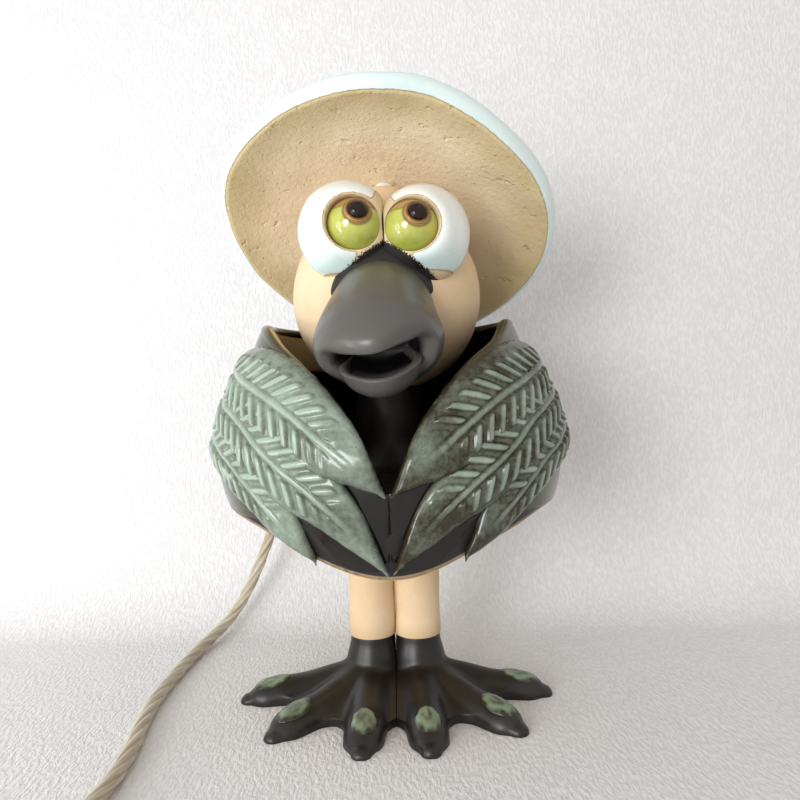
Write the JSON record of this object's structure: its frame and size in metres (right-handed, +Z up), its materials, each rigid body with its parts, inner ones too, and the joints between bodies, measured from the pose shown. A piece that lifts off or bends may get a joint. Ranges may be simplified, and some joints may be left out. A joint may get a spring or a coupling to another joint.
{
  "type": "ceramic bird bell",
  "caption": "Glazed ceramic bird figure whose body is a bell and whose legs hang inside it as the clapper, with a tipped-back hat and a flax hanging cord.",
  "frame": {"origin": "on the floor between the ankles, under the middle of the neck", "axes": "+Z up, the bird faces -Y, +X is to the right seen from the front"},
  "size_m": [0.1555, 0.21, 0.1918],
  "materials": {
    "bare_clay": "unglazed buff stoneware, fine grog, matt",
    "hat_clay": "white gloss glaze outside, bare grogged buff clay in the hollow",
    "white_glaze": "white gloss glaze, pale aqua where it pools",
    "eye_glaze": "glassy yellow-green glaze",
    "pupil_glaze": "glassy black glaze drop",
    "ring_glaze": "brown glaze line",
    "beak_glaze": "satin grey glaze with an olive sheen on top",
    "dark_glaze": "satin brown-black glaze",
    "cape_glaze": "gloss olive-black glaze, greener on raised edges",
    "feather_glaze": "gloss celadon-olive glaze, pale where it pools, dark on the ribs' edges",
    "nail_glaze": "gloss mottled green glaze",
    "flax_cord": "pale natural flax, loosely laid"
  },
  "bodies": {
    "bell": {"feather_left_upper": "feather_glaze", "feather_left_middle": "feather_glaze", "feather_left_lower": "feather_glaze", "eye_lobe_left": "white_glaze", "eyeball_left": "eye_glaze", "pupil_left": "pupil_glaze", "pupil_ring_left": "ring_glaze", "feather_right_upper": "feather_glaze", "feather_right_middle": "feather_glaze", "feather_right_lower": "feather_glaze", "eye_lobe_right": "white_glaze", "eyeball_right": "eye_glaze", "pupil_right": "pupil_glaze", "pupil_ring_right": "ring_glaze", "bell_body": "dark_glaze", "cape": "cape_glaze", "head": "bare_clay", "hat": "hat_clay", "beak_upper": "beak_glaze", "beak_lower": "beak_glaze", "beak_bridge": "dark_glaze", "hanging_cord": "flax_cord", "end_knot": "flax_cord"},
    "knot": {"stopper_knot": "flax_cord", "inner_cord": "flax_cord"},
    "loop": {"clapper_loop": "flax_cord"},
    "clapper": {"foot_left": "dark_glaze", "leg_left": "bare_clay", "nail_left_outer": "nail_glaze", "nail_left_middle": "nail_glaze", "nail_left_inner": "nail_glaze", "foot_right": "dark_glaze", "leg_right": "bare_clay", "nail_right_outer": "nail_glaze", "nail_right_middle": "nail_glaze", "nail_right_inner": "nail_glaze", "leg_yoke": "bare_clay"}
  },
  "joints": [
    {"name": "clapper_drop", "type": "slide", "parent": "bell", "child": "knot", "axis": [0, 0, -1], "range_m": [0, 0.008]},
    {"name": "clapper_swing", "type": "hinge", "parent": "knot", "child": "loop", "pos_m": [0, 0, 0.069], "axis": [1, 0, 0], "range_deg": [-25, 25]},
    {"name": "clapper_sway", "type": "hinge", "parent": "loop", "child": "clapper", "pos_m": [0, 0, 0.054], "axis": [0, 1, 0], "range_deg": [-20, 20]}
  ]
}
